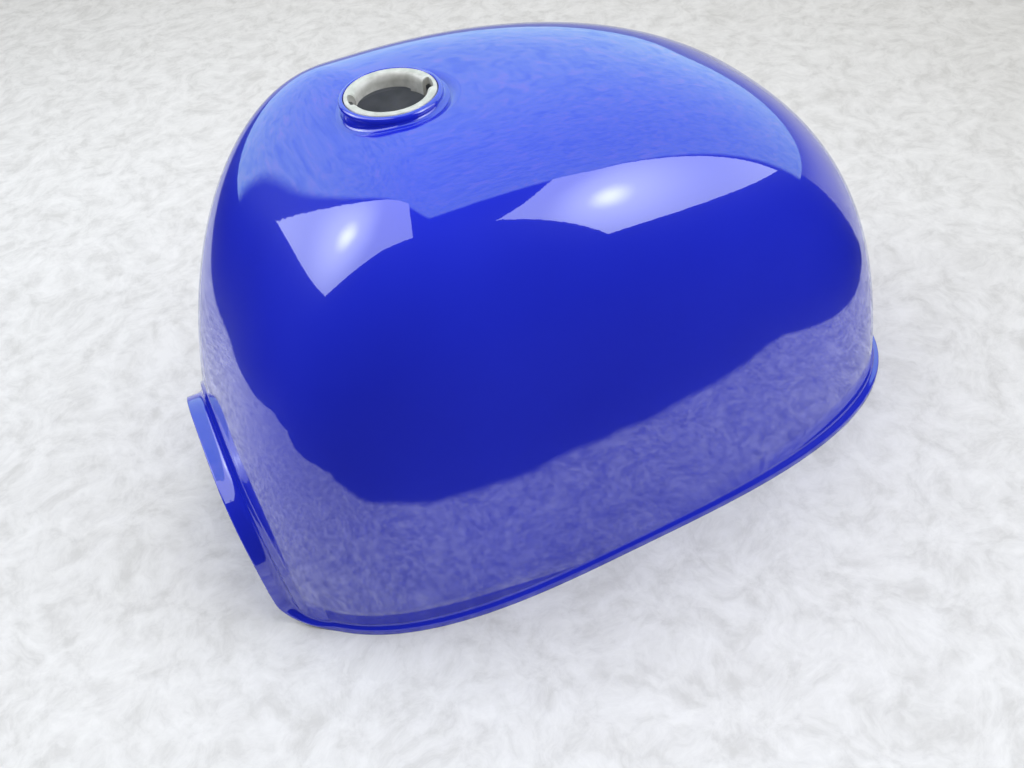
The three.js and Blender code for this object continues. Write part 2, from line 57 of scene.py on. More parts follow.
NECK_X = (insert_lo.x + insert_hi.x) / 2
NECK_AHEAD, NECK_RISE, INSERT_PROUD = 46.5, 3.6, 0.2
COLLAR_WALL, RIM_WIDTH = 1.7, 4.4
SIDE_LIP, REAR_LIP, ARCH_LIP = 1.9, 3.7, 9.0
LIP_HEIGHT, ARCH_FILLET = 7.0, 5.0
BLEND_LEAD, BLEND_LENGTH = 3.0, 28.0
LIP_EDGE = 0.35  # rounding of the cut edge of the sheet
NECK_TOP = insert_hi.z - INSERT_PROUD
HEIGHT = NECK_TOP - NECK_RISE
HALF_WIDTH = shell_hi.y - SIDE_LIP
PLAN_X = NECK_X + NECK_AHEAD
REAR = shell_hi.x - PLAN_X - REAR_LIP
PLAN_POWER, TOP_FRONT, TOP_REAR = 3.0, 3.9, 2.3
PROFILE_FRONT, PROFILE_REAR, PROFILE_SIDE = 1.66, 3.08, 3.86
LEAN1, LEAN2 = -26.0, -24.4
ARCH_W, ARCH_H, ARCH_POWER, ARCH_FOOT = 59.5, 77.5, 3.1, 14.0
SHEET, GAP = 1.2, 0.3
INSERT_R = (insert_hi.y - insert_lo.y) / 2
NECK_R = INSERT_R + GAP + COLLAR_WALL
BORE_R = INSERT_R - RIM_WIDTH


def lerp(a, b, k):
    return a + (b - a) * k


def smooth(k):
    k = min(max(k, 0.0), 1.0)
    return k * k * (3 - 2 * k)


def spow(v, p):
    return math.copysign(abs(v) ** p, v)


def half(t, power):
    return max(1 - max(t, 0.0) ** power, 0.0) ** (1 / power)


arch_t = ARCH_H / HEIGHT
FRONT = (PLAN_X - shell_lo.x - ARCH_LIP + LEAN1 * arch_t + LEAN2 * arch_t ** 2) / half(arch_t, PROFILE_FRONT)


def surface(u, t):
    """Point of the painted face: u is the plan angle, t the share of the height."""
    c, s = math.cos(u), math.sin(u)
    n = lerp(PLAN_POWER, TOP_FRONT if c < 0 else TOP_REAR, t)
    reach = FRONT * half(t, PROFILE_FRONT) if c < 0 else REAR * half(t, PROFILE_REAR)
    x = reach * spow(c, 2 / n) + LEAN1 * t + LEAN2 * t * t
    y = HALF_WIDTH * half(t, PROFILE_SIDE) * spow(s, 2 / n)
    return Vector((PLAN_X + x, y, HEIGHT * t))


def height_at(x, y):
    """Height of the painted face above a point of the plan."""
    lo, hi = 0.3, 1.0
    for _ in range(40):
        t = (lo + hi) / 2
        dx = x - PLAN_X - LEAN1 * t - LEAN2 * t * t
        n = lerp(PLAN_POWER, TOP_FRONT if dx < 0 else TOP_REAR, t)
        reach = FRONT * half(t, PROFILE_FRONT) if dx < 0 else REAR * half(t, PROFILE_REAR)
        side = HALF_WIDTH * half(t, PROFILE_SIDE)
        if reach <= 1e-6 or side <= 1e-6:
            hi = t
            continue
        inside = (abs(dx) / reach) ** n + (abs(y) / side) ** n < 1
        if inside:
            lo = t
        else:
            hi = t
    return HEIGHT * (lo + hi) / 2


def angle_at(y, t):
    n = lerp(PLAN_POWER, TOP_FRONT, t)
    r = min(abs(y) / (HALF_WIDTH * half(t, PROFILE_SIDE)), 1.0)
    return math.pi - math.copysign(math.asin(r ** (n / 2)), y)


def plan_normal(u):
    a, b = surface(u + 1e-3, 0), surface(u - 1e-3, 0)
    d = a - b
    return Vector((d.y, -d.x, 0)).normalized()


# ---------------------------------------------------------------- mesh helpers
def make(name, verts, faces, materials, face_slots=None):
    """Piece that rides on the tank; face_slots picks the material of each face."""
    mesh = bpy.data.meshes.new(name)
    mesh.from_pydata([Vector(v) * MM for v in verts], [], faces)
    mesh.update()
    bm = bmesh.new()
    bm.from_mesh(mesh)
    bmesh.ops.remove_doubles(bm, verts=bm.verts, dist=1e-7)
    if face_slots is None:
        bmesh.ops.recalc_face_normals(bm, faces=bm.faces)
    bm.to_mesh(mesh)
    bm.free()
    for p in mesh.polygons:
        p.use_smooth = True
    ob = bpy.data.objects.new(name, mesh)
    bpy.context.collection.objects.link(ob)
    for m in materials:
        mesh.materials.append(m)
    if face_slots is not None:
        for p, s in zip(mesh.polygons, face_slots):
            p.material_index = s
    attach(ob, "root")
    return ob


def apply_modifiers(ob):
    dg = bpy.context.evaluated_depsgraph_get()
    mesh = bpy.data.meshes.new_from_object(ob.evaluated_get(dg))
    ob.modifiers.clear()
    ob.data = mesh
    return ob


def lathe(profile, segments, centre):
    """Turned body from a closed loop of (r, z), where r is a number or a function of angle and z."""
    verts, faces = [], []
    n = len(profile)
    for i in range(segments):
        a = 2 * math.pi * i / segments
        for r, z in profile:
            rad = r(a, z) if callable(r) else r
            verts.append((centre[0] + rad * math.cos(a), centre[1] + rad * math.sin(a), z))
    for i in range(segments):
        j = (i + 1) % segments
        for k in range(n):
            m = (k + 1) % n
            faces.append((i * n + k, j * n + k, j * n + m, i * n + m))
    return verts, faces


def arc(cx, cz, r, a0, a1, steps):
    out = []
    for i in range(steps + 1):
        a = math.radians(lerp(a0, a1, i / steps))
        out.append((cx + r * math.cos(a), cz + r * math.sin(a)))
    return out


def spline(points, steps):
    """Smooth curve through a few points, by Catmull-Rom."""
    out = []
    p = [points[0]] + list(points) + [points[-1]]
    for i in range(1, len(p) - 2):
        for k in range(steps):
            t = k / steps
            q = []
            for c in range(2):
                a, b, d, e = p[i - 1][c], p[i][c], p[i + 1][c], p[i + 2][c]
                q.append(0.5 * (2 * b + (d - a) * t + (2 * a - 5 * b + 4 * d - e) * t * t
                                + (3 * b - a - 3 * d + e) * t ** 3))
            out.append(tuple(q))
    out.append(tuple(points[-1]))
    return out


# ---------------------------------------------------------------- materials
def new_material(name):
    m = bpy.data.materials.new(name)
    m.use_nodes = True
    nt = m.node_tree
    bsdf = nt.nodes["Principled BSDF"]
    return m, nt, bsdf


def node(nt, kind, **values):
    n = nt.nodes.new(kind)
    for k, v in values.items():
        if k in n.inputs:
            n.inputs[k].default_value = v
        else:
            setattr(n, k, v)
    return n


def ramp(nt, source, stops):
    r = nt.nodes.new("ShaderNodeValToRGB")
    els = r.color_ramp.elements
    while len(els) < len(stops):
        els.new(0.5)
    for e, (pos, col) in zip(els, stops):
        e.position = pos
        e.color = col if len(col) == 4 else (*col, 1)
    nt.links.new(source, r.inputs["Fac"])
    return r.outputs["Color"]


def paint_material(name, coat=1.0, rough=0.3):
    m, nt, b = new_material(name)
    tc = node(nt, "ShaderNodeTexCoord")
    broad = node(nt, "ShaderNodeTexNoise", Scale=9.0, Detail=3.0)
    nt.links.new(tc.outputs["Object"], broad.inputs["Vector"])
    col = ramp(nt, broad.outputs["Fac"], [(0.3, (0.0100, 0.0190, 0.480)), (0.7, (0.0120, 0.0230, 0.540))])
    nt.links.new(col, b.inputs["Base Color"])
    peel = node(nt, "ShaderNodeTexNoise", Scale=420.0, Detail=2.0)
    nt.links.new(tc.outputs["Object"], peel.inputs["Vector"])
    bump = node(nt, "ShaderNodeBump", Strength=0.03, Distance=0.0002)
    nt.links.new(peel.outputs["Fac"], bump.inputs["Height"])
    nt.links.new(bump.outputs["Normal"], b.inputs["Coat Normal"])
    b.inputs["Roughness"].default_value = rough
    b.inputs["Specular IOR Level"].default_value = 0.1
    b.inputs["Coat Weight"].default_value = coat
    b.inputs["Coat Roughness"].default_value = 0.02
    b.inputs["Coat IOR"].default_value = 1.9
    return m


def metal_material(name, dark, light, scale, rough_lo, rough_hi, metallic):
    m, nt, b = new_material(name)
    tc = node(nt, "ShaderNodeTexCoord")
    n1 = node(nt, "ShaderNodeTexNoise", Scale=scale, Detail=6.0)
    nt.links.new(tc.outputs["Object"], n1.inputs["Vector"])
    nt.links.new(ramp(nt, n1.outputs["Fac"], [(0.3, dark), (0.65, light)]), b.inputs["Base Color"])
    mr = node(nt, "ShaderNodeMapRange")
    mr.inputs["To Min"].default_value = rough_lo
    mr.inputs["To Max"].default_value = rough_hi
    nt.links.new(n1.outputs["Fac"], mr.inputs["Value"])
    nt.links.new(mr.outputs["Result"], b.inputs["Roughness"])
    bump = node(nt, "ShaderNodeBump", Strength=0.15, Distance=0.0003)
    nt.links.new(n1.outputs["Fac"], bump.inputs["Height"])
    nt.links.new(bump.outputs["Normal"], b.inputs["Normal"])
    b.inputs["Metallic"].default_value = metallic
    return m


PAINT = paint_material("blue_paint")
PAINT_UNDER = paint_material("blue_paint_under", coat=0.6, rough=0.4)
ZINC = metal_material("zinc_insert", (0.46, 0.45, 0.39), (0.63, 0.61, 0.55), 260.0, 0.36, 0.55, 0.2)
BARE = metal_material("bare_inside", (0.20, 0.22, 0.21), (0.34, 0.36, 0.35), 60.0, 0.45, 0.7, 0.4)
STEEL = metal_material("steel_fitting", (0.42, 0.43, 0.45), (0.60, 0.61, 0.63), 190.0, 0.25, 0.45, 0.9)


# ---------------------------------------------------------------- outer shell
def lip_weight(along):
    """Share of the arch lip at a distance along the rim from where it starts to run out."""
    return 1 - smooth(along / BLEND_LENGTH)


def arch_half(steps):
    """Half of the rim from the front: y, z, direction into the opening, weight of the arch lip."""
    out = []
    for i in range(steps + 1):
        a = i / steps * math.pi / 2 * 0.985
        y = ARCH_W * spow(math.sin(a), 2 / ARCH_POWER)
        z = ARCH_H * spow(math.cos(a), 2 / ARCH_POWER)
        gy = (y / ARCH_W) ** (ARCH_POWER - 1) / ARCH_W
        gz = (z / ARCH_H) ** (ARCH_POWER - 1) / ARCH_H
        g = math.hypot(gy, gz)
        if z > ARCH_FOOT + BLEND_LEAD:
            out.append((y, z, -gy / g, -gz / g, 1.0))
    cy = ARCH_W + ARCH_FOOT
    k_steps = steps // 2
    for i in range(-2, k_steps + 1):
        a = max(i, 0) / k_steps * math.pi / 2
        lead = BLEND_LEAD * (1 + i / 3) if i < 0 else BLEND_LEAD
        rise = BLEND_LEAD - lead
        out.append((cy - ARCH_FOOT * math.cos(a), ARCH_FOOT * (1 - math.sin(a)) + rise,
                    -math.cos(a), -math.sin(a), lip_weight(lead + ARCH_FOOT * a)))
    return out


def rim_columns(arch_steps, side_steps):
    cols = []
    for y, z, ny, nz, w in arch_half(arch_steps):
        d = lerp(LIP_HEIGHT, ARCH_FILLET, w)
        cols.append(dict(u=angle_at(y, z / HEIGHT), z=z, ny=ny, nz=nz, w=w,
                         su=angle_at(y - ny * d, z / HEIGHT), sz=z - nz * d))
    last = cols[-1]["u"]
    corner = surface(last, 0)
    for i in range(1, side_steps + 1):
        f = i / side_steps
        u = last * (1 - f * (0.35 + 0.65 * f))
        past = (surface(u, 0) - corner).length
        w = lip_weight(BLEND_LEAD + ARCH_FOOT * math.pi / 2 + past)
        cols.append(dict(u=u, z=0.0, ny=0.0, nz=-1.0, w=w, su=u, sz=LIP_HEIGHT))
    count = len(cols) - 1
    for i, c in enumerate(cols):
        c["tu"] = math.pi * (1 - i / count)
    other = [dict(c, u=-c["u"], su=-c["su"], tu=-c["tu"], ny=-c["ny"]) for c in cols[-2:0:-1]]
    return cols + other


# Section of the sheet at the rim: share of the lip's reach, share of its height.
FOOT = spline([(0.0, 1.0), (0.03, 0.86), (0.16, 0.74), (0.5, 0.62),
               (0.84, 0.5), (0.97, 0.36), (1.0, 0.0)], 4)[1:]
ARCH = spline([(0.0, 1.0), (0.02, 0.62), (0.09, 0.3), (0.22, 0.08),
               (0.42, 0.0), (0.75, 0.0), (1.0, 0.0)], 4)[1:]
SHOULDER = 0.93


def shell_rows(arch_steps, side_steps, levels, cap):
    cols = rim_columns(arch_steps, side_steps)
    hole = NECK_R + 0.4
    rows = []
    shoulder = []
    for c in cols:
        shoulder.append(surface(lerp(c["su"], c["tu"], 0.8), SHOULDER))
    for k in range(cap, 0, -1):
        row = []
        f = k / cap
        for c, s in zip(cols, shoulder):
            a = c["tu"]
            ring = Vector((NECK_X + hole * math.cos(a), hole * math.sin(a), 0))
            x, y = lerp(s.x, ring.x, f), lerp(s.y, ring.y, f)
            row.append(Vector((x, y, height_at(x, y))))
        rows.append(row)
    top = math.asin(SHOULDER ** 1.5)
    for k in range(levels, -1, -1):
        row = []
        f = k / levels
        for c in cols:
            low = math.asin(min((c["sz"] / HEIGHT) ** 1.5, 1))
            t = math.sin(lerp(low, top, f)) ** (2 / 3)
            row.append(surface(lerp(c["su"], c["tu"], 0.8 * smooth(f)), t))
        rows.append(row)
    for r in range(len(FOOT)):
        row = []
        for c in cols:
            p = surface(c["u"], c["z"] / HEIGHT)
            w = c["w"]
            out = plan_normal(c["u"]).lerp(Vector((-1, 0, 0)), w).normalized()
            down = Vector((0, c["ny"], c["nz"]))
            rear = smooth((p.x - PLAN_X) / REAR)
            reach = lerp(lerp(SIDE_LIP, REAR_LIP, rear), ARCH_LIP - LIP_EDGE, w)
            o = lerp(FOOT[r][0], ARCH[r][0], w) * reach
            d = lerp(FOOT[r][1] * LIP_HEIGHT, ARCH[r][1] * ARCH_FILLET, w)
            row.append(p + out * o - down * d)
        rows.append(row)
    return rows


def grid_normals(rows):
    n = len(rows[0])
    normals = [[Vector((0, 0, 0)) for _ in range(n)] for _ in rows]
    for r in range(len(rows) - 1):
        for i in range(n):
            j = (i + 1) % n
            a, b, c, d = rows[r][i], rows[r][j], rows[r + 1][j], rows[r + 1][i]
            f = (c - a).cross(b - d)
            for rr, ii in ((r, i), (r, j), (r + 1, j), (r + 1, i)):
                normals[rr][ii] += f
    sign = 1 if normals[0][0].z > 0 else -1
    return [[v.normalized() * sign for v in row] for row in normals]


def build_shell():
    rows = shell_rows(72, 130, 46, 14)
    normals = grid_normals(rows)
    n = len(rows[0])
    outer = [p for row in rows for p in row]
    inner = []
    for row, nrow in zip(rows, normals):
        for p, v in zip(row, nrow):
            q = p - v * SHEET
            q.z = max(q.z, 0.0)
            inner.append(q)
    last = len(rows) - 1
    lip, brim = [], []
    for i in range(n):
        a, b = rows[last][i], rows[last - 1][i]
        q = inner[last * n + i]
        way = (a - b).normalized()
        mid = (a + q) / 2 + way * LIP_EDGE
        lip.append(Vector((mid.x, mid.y, max(mid.z, 0.0))))
    for i in range(n):
        brim.append((rows[0][i] + inner[i]) / 2)
    base_in = len(outer)
    base_lip = base_in + len(inner)
    base_brim = base_lip + n
    faces, slots = [], []
    for r in range(last):
        for i in range(n):
            j = (i + 1) % n
            faces.append((r * n + i, (r + 1) * n + i, (r + 1) * n + j, r * n + j))
            slots.append(0)
            faces.append(tuple(base_in + v for v in (r * n + j, (r + 1) * n + j, (r + 1) * n + i, r * n + i)))
            slots.append(1)
    for i in range(n):
        j = (i + 1) % n
        o, q = last * n, base_in + last * n
        faces.append((o + i, base_lip + i, base_lip + j, o + j))
        faces.append((base_lip + i, q + i, q + j, base_lip + j))
        slots += [0, 0]
        faces.append((j, base_brim + j, base_brim + i, i))
        faces.append((base_brim + j, base_in + j, base_in + i, base_brim + i))
        slots += [0, 0]
    return make("shell_pressing", outer + inner + lip + brim, faces, [PAINT, BARE], slots)


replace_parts(build_shell(), "outer_shell")


# ---------------------------------------------------------------- filler collar
def ring_row(radius, height, segments):
    """One ring round the neck; height is a number or a function of x and y."""
    row = []
    for i in range(segments):
        a = 2 * math.pi * i / segments
        x, y = NECK_X + radius * math.cos(a), radius * math.sin(a)
        row.append(Vector((x, y, height(x, y) if callable(height) else height)))
    return row


def build_collar():
    seg = 180
    inner_r = INSERT_R + GAP
    roll, proud = 1.6, 0.3
    mid_r, mid_z = NECK_R + proud - roll, NECK_TOP - roll
    rows = [ring_row(inner_r, NECK_TOP - 0.9, seg), ring_row(inner_r + 0.04, NECK_TOP - 0.3, seg),
            ring_row(inner_r + 0.25, NECK_TOP - 0.05, seg)]
    rows += [ring_row(r, z, seg) for r, z in arc(mid_r, mid_z, roll, 92, -22, 16)]
    rows += [ring_row(NECK_R + 0.06, mid_z - 0.85, seg), ring_row(NECK_R, mid_z - 1.1, seg)]
    fillet = [(0.0, 1.75), (0.02, 1.4), (0.12, 1.0), (0.34, 0.64), (0.7, 0.36), (1.2, 0.17),
              (1.9, 0.05), (2.8, -0.04), (3.1, -0.2)]
    for dr, dz in fillet:
        rows.append(ring_row(NECK_R + dr, lambda x, y, dz=dz: height_at(x, y) + dz, seg))
    rows += [ring_row(NECK_R + 1.0, lambda x, y: height_at(x, y) - 0.3, seg),
             ring_row(NECK_R + 0.1, lambda x, y: height_at(x, y) - 0.4, seg),
             ring_row(NECK_R, collar_lo.z + 0.2, seg), ring_row(NECK_R - 0.2, collar_lo.z, seg),
             ring_row(inner_r + 0.2, collar_lo.z, seg), ring_row(inner_r, collar_lo.z + 0.2, seg)]
    verts = [p for row in rows for p in row]
    faces = []
    m = len(rows)
    for r in range(m):
        q = (r + 1) % m
        for i in range(seg):
            j = (i + 1) % seg
            faces.append((r * seg + i, r * seg + j, q * seg + j, q * seg + i))
    ob = make("collar_turned_rim", verts, faces, [PAINT, BARE])
    for p in ob.data.polygons:
        x, y, z = p.center / MM
        if math.hypot(x - NECK_X, y) < inner_r + 0.1 and z < NECK_TOP - 1 or z < height_at(x, y) - 0.45:
            p.material_index = 1
    return ob


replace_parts(build_collar(), "filler_collar")

# ---------------------------------------------------------------- grey bayonet insert
NOTCH_ANGLE = -9.0
NOTCH_WIDTH, NOTCH_REACH = 8.2, BORE_R + 2.7
STOP_SPAN, CAM_SPAN = 47.0, 121.0
CAM_START, CAM_END = 5.4, 6.2
SKIRT = insert_hi.z - insert_lo.z


def closed_cutter(verts, faces):
    """Mesh of a tool for the boolean steps."""
    mesh = bpy.data.meshes.new("cutter")
    mesh.from_pydata([Vector(v) * MM for v in verts], [], faces)
    bm = bmesh.new()
    bm.from_mesh(mesh)
    bmesh.ops.recalc_face_normals(bm, faces=bm.faces)
    bm.to_mesh(mesh)
    bm.free()
    return mesh


def loft_faces(rings, count):
    """Faces of a loft of closed rings, capped at both ends."""
    faces = []
    for i in range(rings - 1):
        for k in range(count):
            m = (k + 1) % count
            faces.append((i * count + k, i * count + m, (i + 1) * count + m, (i + 1) * count + k))
    faces.append(tuple(reversed(range(count))))
    faces.append(tuple((rings - 1) * count + k for k in range(count)))
    return faces


def notch_cutter(turn):
    """Upright slot with rounded inner corners and a slightly pointed outer end."""
    w, r = NOTCH_WIDTH / 2, 0.7
    outline = [(0, -w)]
    outline += [(NOTCH_REACH - 1.0 + x, -w + y) for x, y in ((0, 0), (r * 0.5, r * 0.13), (r, r * 0.6))]
    outline += [(NOTCH_REACH, -w * 0.5), (NOTCH_REACH + 0.15, 0), (NOTCH_REACH, w * 0.5)]
    outline += [(NOTCH_REACH - 1.0 + x, w - y) for x, y in ((r, r * 0.6), (r * 0.5, r * 0.13), (0, 0))]
    outline += [(0, w)]
    a = math.radians(NOTCH_ANGLE + turn)
    verts = []
    for z in (insert_lo.z - 4, insert_hi.z + 4):
        for x, y in outline:
            verts.append((NECK_X + x * math.cos(a) - y * math.sin(a), x * math.sin(a) + y * math.cos(a), z))
    return closed_cutter(verts, loft_faces(2, len(outline)))


def cam_cutter(turn):
    """Takes the skirt away below a shallow ramp, between a stop and the next notch."""
    verts, steps, low = [], 48, insert_lo.z - 6
    for i in range(steps + 1):
        k = i / steps
        a = math.radians(NOTCH_ANGLE + turn + STOP_SPAN + CAM_SPAN * k)
        depth = lerp(CAM_END, CAM_START, k) + 0.8 * (1 - smooth(k * 14)) * 0.5
        z = insert_hi.z - depth
        for r, h in ((BORE_R - 3, z), (BORE_R + 3, z), (BORE_R + 3, low), (BORE_R - 3, low)):
            verts.append((NECK_X + r * math.cos(a), r * math.sin(a), h))
    return closed_cutter(verts, loft_faces(steps + 1, 4))


def clean(ob):
    """Merges points that a cut left closer together than a hundredth of a millimetre."""
    near = 0.01 * MM
    bm = bmesh.new()
    bm.from_mesh(ob.data)
    bmesh.ops.remove_doubles(bm, verts=bm.verts, dist=near)
    bmesh.ops.dissolve_degenerate(bm, edges=bm.edges, dist=near)
    bm.to_mesh(ob.data)
    bm.free()
    return ob


def combine(ob, tools):
    """Boolean steps in order: (operation, mesh)."""
    for operation, mesh in tools:
        tool = bpy.data.objects.new("tool", mesh)
        bpy.context.collection.objects.link(tool)
        mod = ob.modifiers.new("step", "BOOLEAN")
        mod.operation = operation
        mod.solver = "EXACT"
        mod.object = tool
        bpy.context.view_layer.update()
        apply_modifiers(ob)
        bpy.data.objects.remove(tool)
    return clean(ob)


def build_insert():
    top = insert_hi.z
    profile = [
        (BORE_R, top - 3.4), (BORE_R + 0.03, top - 2.8), (BORE_R + 0.18, top - 2.0),
        (BORE_R + 0.46, top - 1.25), (BORE_R + 0.85, top - 0.66), (BORE_R + 1.3, top - 0.27),
        (BORE_R + 1.75, top - 0.07), (BORE_R + 2.2, top), (INSERT_R - 0.75, top),
        (INSERT_R - 0.35, top - 0.08), (INSERT_R - 0.1, top - 0.3), (INSERT_R, top - 0.65),
        (INSERT_R, top - 4.0), (INSERT_R - 1.0, top - 4.0), (INSERT_R - 1.0, top - 2.3),
        (BORE_R + 1.3, top - 3.4),
        (BORE_R + 1.3, top - SKIRT + 0.25), (BORE_R + 1.05, top - SKIRT), (BORE_R + 0.3, top - SKIRT),
        (BORE_R, top - SKIRT + 0.3),
    ]
    verts, faces = lathe(profile, 200, (NECK_X, 0))
    ob = make("bayonet_neck", verts, faces, [ZINC])
    combine(ob, [("DIFFERENCE", f(turn)) for turn in (0, 180) for f in (notch_cutter, cam_cutter)])
    ob.data.set_sharp_from_angle(angle=math.radians(40))
    return ob


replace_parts(build_insert(), "filler_insert")

# ---------------------------------------------------------------- bottom pan
FLOOR_Z = pan_lo.z + 2.4
TUNNEL_REAR_HALF, TUNNEL_REAR_H, REAR_DECK = 38.0, 7.0, 16.1
BAND_LOW, BAND_TOP = pan_lo.z, pan_lo.z + 12.0
TUNNEL_FRONT, TUNNEL_END = PLAN_X - FRONT, PLAN_X + REAR - REAR_DECK


def plan_ring(inset, z, count):
    out = []
    for i in range(count):
        u = 2 * math.pi * (i + 0.5) / count
        p = surface(u, 0) - plan_normal(u) * inset
        out.append((p.x, p.y, z))
    return out


def prism(ring_at, z0, z1):
    ring = ring_at(z0)
    return ring + ring_at(z1), loft_faces(2, len(ring))


def tunnel_size(x):
    k = min(max((x - TUNNEL_FRONT) / (TUNNEL_END - TUNNEL_FRONT), 0), 1)
    return lerp(ARCH_W, TUNNEL_REAR_HALF, k), lerp(ARCH_H, TUNNEL_REAR_H, k)


def tunnel_loft(inset, bottom, front_gap, x_end, stations=26, steps=72):
    """Solid tunnel: upright sections that follow the turned-out lip at the front."""
    rings = []
    base = []
    for i in range(steps + 1):
        a = i / steps * math.pi
        y = -ARCH_W * spow(math.cos(a), 2 / ARCH_POWER)
        z = ARCH_H * spow(math.sin(a), 2 / ARCH_POWER)
        w = smooth(z / (ARCH_FOOT + BLEND_LEAD))
        front = surface(angle_at(y, z / HEIGHT), z / HEIGHT).x - lerp(SIDE_LIP, ARCH_LIP, w) + front_gap
        base.append((a, front))
    for k in range(stations + 1):
        f = k / stations
        ring = []
        for a, front in base:
            x = lerp(front, x_end, f)
            w, h = tunnel_size(x)
            y = -(w - inset) * spow(math.cos(a), 2 / ARCH_POWER)
            z = (h - inset) * spow(math.sin(a), 2 / ARCH_POWER)
            ring.append((x, y, max(z, bottom + 0.02)))
        w, _ = tunnel_size(ring[-1][0])
        ring.append((ring[-1][0], w - inset, bottom))
        w, _ = tunnel_size(ring[0][0])
        ring.append((ring[0][0], -(w - inset), bottom))
        rings.append(ring)
    count = len(rings[0])
    return [p for ring in rings for p in ring], loft_faces(stations + 1, count)


def soften(ob, width):
    """Small rounded edges and smooth shading over the gentle bends."""
    bm = bmesh.new()
    bm.from_mesh(ob.data)
    bmesh.ops.remove_doubles(bm, verts=bm.verts, dist=2e-6)
    bmesh.ops.dissolve_limit(bm, angle_limit=math.radians(0.6), verts=bm.verts, edges=bm.edges)
    bm.to_mesh(ob.data)
    bm.free()
    mod = ob.modifiers.new("edges", "BEVEL")
    mod.width = width * MM
    mod.segments = 3
    mod.limit_method = "ANGLE"
    mod.angle_limit = math.radians(32)
    mod.harden_normals = True
    bpy.context.view_layer.update()
    apply_modifiers(ob)
    for p in ob.data.polygons:
        p.use_smooth = True
    ob.data.set_sharp_from_angle(angle=math.radians(40))
    return ob


def build_pan():
    wall = SHEET + GAP
    inside = wall + SHEET
    bore = TAP_R + GAP

    def outline(inset):
        return lambda z: plan_ring(inset, z, 220)

    def circle(z):
        angles = [2 * math.pi * i / 96 for i in range(96)]
        return [(TAP_MID.x + bore * math.cos(a), TAP_MID.y + bore * math.sin(a), z) for a in angles]

    verts, faces = prism(outline(wall), BAND_LOW, BAND_TOP)
    ob = make("pan_pressing", verts, faces, [PAINT_UNDER])
    hollow_top = closed_cutter(*prism(outline(inside), FLOOR_Z + SHEET, BAND_TOP + 4))
    hollow_low = closed_cutter(*prism(outline(inside), BAND_LOW - 4, FLOOR_Z))
    outer = closed_cutter(*tunnel_loft(wall, BAND_LOW, GAP, TUNNEL_END))
    inner = closed_cutter(*tunnel_loft(inside, BAND_LOW - 5, -20, TUNNEL_END - SHEET))
    tap = closed_cutter(*prism(circle, -10, 20))
    combine(ob, [("DIFFERENCE", hollow_top), ("DIFFERENCE", hollow_low), ("UNION", outer),
                 ("DIFFERENCE", inner), ("DIFFERENCE", tap)])
    return soften(ob, 0.3)


# ---------------------------------------------------------------- turned and threaded fittings
TAP_MID = (tap_lo + tap_hi) / 2
TAP_FLANGE, TAP_BORE = 3.5, 5.2
TAP_R = (tap_hi.x - tap_lo.x) / 2 - TAP_FLANGE


def turned(name, profile, segments, centre):
    verts, faces = lathe(profile, segments, centre)
    ob = make(name, verts, faces, [STEEL])
    ob.data.set_sharp_from_angle(angle=math.radians(38))
    return ob


def thread(radius, pitch, depth):
    """Radius of a threaded bore: a V groove that climbs once a turn."""
    def at(a, z):
        f = (z / pitch - a / (2 * math.pi)) % 1.0
        return radius + depth * (1 - abs(2 * f - 1))
    return at


def bore_rows(radius, pitch, depth, z0, z1):
    """Threaded wall between two heights, with a plain lead-in at both ends."""
    rows = [(radius + depth, z0), (radius, z0 + depth)]
    steps = int((z1 - z0 - 2 * depth) / pitch * 6)
    at = thread(radius, pitch, depth)
    rows += [(at, lerp(z0 + depth + 0.05, z1 - depth - 0.05, i / steps)) for i in range(steps + 1)]
    return rows + [(radius, z1 - depth), (radius + depth, z1)]


def build_tap():
    seat = FLOOR_Z + SHEET + GAP
    r = TAP_R
    wall = [(r - 1.2, tap_hi.z), (r - 1.0, tap_hi.z - 0.2), (r, seat + 2.4), (r + 0.5, seat + 1.95),
            (r + 3.2, seat + 1.6), (r + 3.44, seat + 1.45), (r + TAP_FLANGE, seat + 1.2),
            (r + TAP_FLANGE, seat + 0.25), (r + 3.25, seat), (r, seat), (r, tap_lo.z + 0.4),
            (r - 0.12, tap_lo.z + 0.12), (r - 0.4, tap_lo.z)]
    bore = bore_rows(TAP_BORE, 1.0, 0.5, tap_lo.z, tap_hi.z)
    return turned("tap_boss_turned", bore + wall, 160, TAP_MID)


def build_nut():
    mid = (nut_lo + nut_hi) / 2
    flat = min(nut_hi.x - nut_lo.x, nut_hi.y - nut_lo.y) / 2
    corner = flat / math.cos(math.pi / 6)
    chamfer, slope = 0.75, 1.7
    half_height = (nut_hi.z - nut_lo.z) / 2

    def hexagon(a, z):
        side = flat / math.cos((a + math.pi / 6) % (math.pi / 3) - math.pi / 6)
        return min(side, corner - max(0.0, abs(z - mid.z) - (half_height - chamfer)) * slope)

    heights = [0.0, 0.12, 0.26, 0.4, 0.55, chamfer, 1.4]
    edge = [(hexagon, nut_hi.z - h) for h in heights] + [(hexagon, nut_lo.z + h) for h in reversed(heights)]
    face = min(corner - chamfer * slope, flat) - 0.3
    bore = bore_rows(3.8, 1.25, 0.5, nut_lo.z, nut_hi.z)
    return turned("captive_nut", bore + [(face, nut_hi.z)] + edge + [(face, nut_lo.z)], 144, mid)


def copied(name, source, width):
    """Fine copy of a simple bracket, with its edges rounded."""
    ob = make(name, [], [], [PAINT_UNDER])
    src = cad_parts[source]
    src = bpy.data.objects[src] if isinstance(src, str) else src
    mesh = src.data.copy()
    mesh.transform(ob.matrix_world.inverted() @ src.matrix_world)
    mesh.materials.clear()
    mesh.materials.append(PAINT_UNDER)
    ob.data = mesh
    return soften(ob, width)


